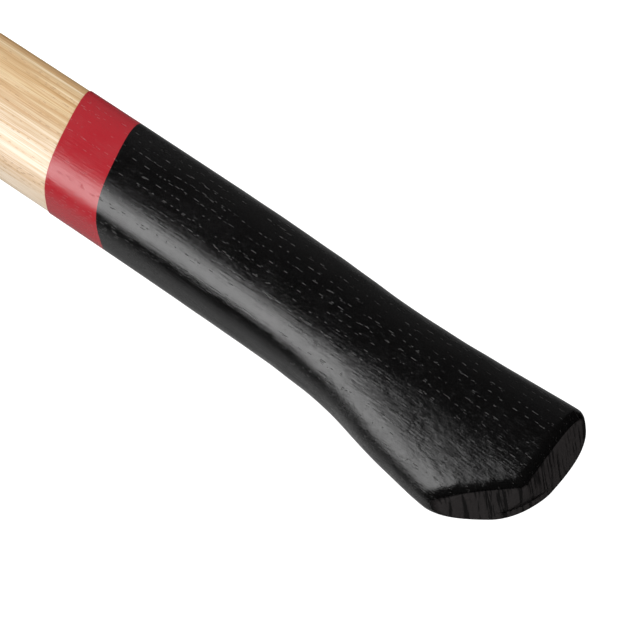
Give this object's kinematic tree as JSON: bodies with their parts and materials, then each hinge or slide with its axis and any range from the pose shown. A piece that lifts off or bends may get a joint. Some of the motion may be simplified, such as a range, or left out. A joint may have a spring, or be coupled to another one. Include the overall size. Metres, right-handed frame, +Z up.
{
  "type": "splitting maul",
  "caption": "Long-handled splitting maul: a forged wedge head with a hammer poll, wedged onto a straight wooden haft with a flared, paint-dipped grip.",
  "frame": {"origin": "on the haft's axis, in the plane of the head's flat top, which the maul stands on", "axes": "+Z up the haft from the head to the grip end, +X towards the cutting edge, +Y across the cheeks"},
  "size_m": [0.183, 0.054, 0.9143],
  "materials": {
    "forged_steel": "black forge lacquer, ground bright at the edge and poll",
    "ash_wood": "clear varnish over bare ash",
    "wedge_wood": "bare hardwood",
    "wedge_steel": "plain steel",
    "red_paint": "dipped gloss paint over open grain",
    "black_paint": "dipped gloss paint over open grain"
  },
  "bodies": {
    "root": {"maul_head": "forged_steel", "haft": "ash_wood", "eye_wedge": "wedge_wood", "steel_wedge_front": "wedge_steel", "steel_wedge_rear": "wedge_steel", "red_band_coat": "red_paint", "black_grip_coat": "black_paint"}
  },
  "joints": []
}
